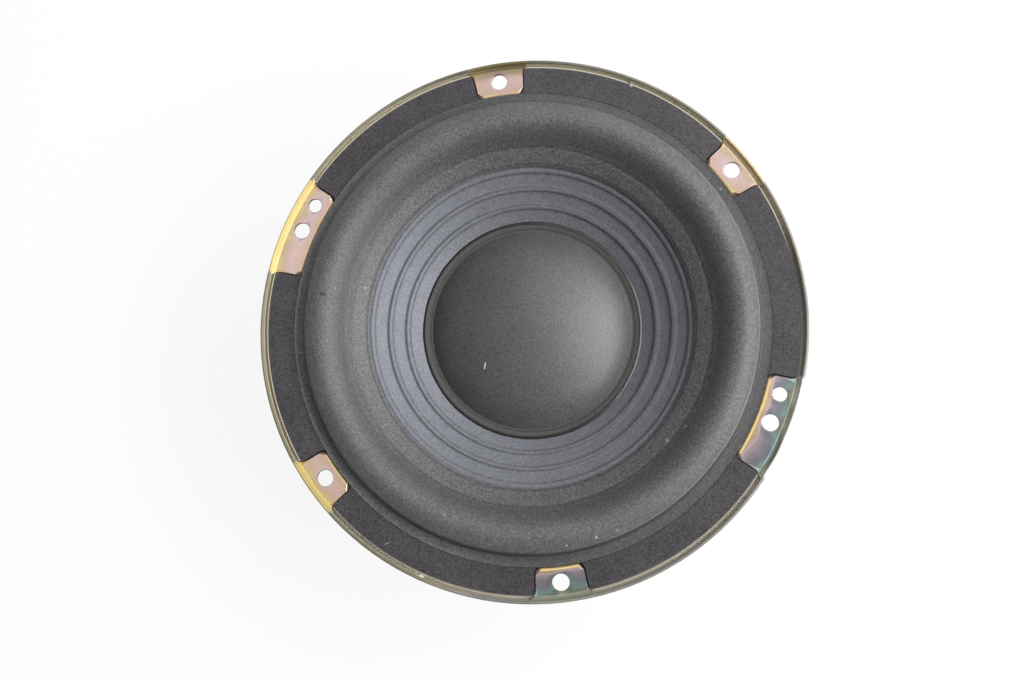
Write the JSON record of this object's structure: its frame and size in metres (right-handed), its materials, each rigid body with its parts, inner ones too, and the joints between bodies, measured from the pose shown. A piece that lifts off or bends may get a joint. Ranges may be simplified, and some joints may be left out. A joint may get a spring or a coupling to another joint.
{
  "type": "subwoofer driver",
  "caption": "Round moving-coil woofer: stamped steel basket with raised screw pads, foam half-roll surround, ribbed paper cone, domed dust cap and ferrite motor.",
  "frame": {"origin": "centre of the bolt circle, in the plane of the screw pads' underside", "axes": "+Z along the driver's axis towards the listener; +X through the main hole of one wide pad; +Y towards the side of the wide pads' extra holes, along the hole pattern's mirror line"},
  "size_m": [0.165, 0.165, 0.0756],
  "materials": {
    "zinc_steel": "yellow zinc plate",
    "gasket": "matte",
    "foam": "matte foam with a fine speckle",
    "cone_paper": "pressed paper",
    "cap_paper": "matte pressed paper",
    "former": "smooth amber film",
    "copper": "enamelled wire",
    "spider_cloth": "stiffened woven cloth",
    "motor_steel": "zinc plate",
    "ferrite": "ground ferrite",
    "board": "laminated paper board",
    "tinned_brass": "tin plate",
    "brass": "satin",
    "tinsel": "braided tinsel"
  },
  "bodies": {
    "chassis": {"basket": "zinc_steel", "gasket_segment_1": "gasket", "gasket_segment_2": "gasket", "gasket_segment_3": "gasket", "gasket_segment_4": "gasket", "gasket_segment_5": "gasket", "gasket_segment_6": "gasket", "surround": "foam", "spider": "spider_cloth", "top_plate": "motor_steel", "magnet": "ferrite", "t_yoke": "motor_steel", "basket_rivets": "motor_steel", "terminal_board": "board", "terminal_tag_positive": "tinned_brass", "terminal_tag_negative": "tinned_brass", "terminal_rivets": "brass", "board_rivets": "motor_steel", "tinsel_lead_positive": "tinsel", "tinsel_lead_negative": "tinsel"},
    "cone_assembly": {"cone": "cone_paper", "dust_cap": "cap_paper", "voice_coil_former": "former", "voice_coil_winding": "copper", "lead_eyelets": "brass"}
  },
  "joints": [
    {"name": "cone_travel", "type": "slide", "parent": "chassis", "child": "cone_assembly", "axis": [0, 0, 1], "range_m": [-0.006, 0.006], "stiffness_N_per_m": 1250, "deforming": ["surround", "spider", "tinsel_lead_positive", "tinsel_lead_negative"]}
  ]
}
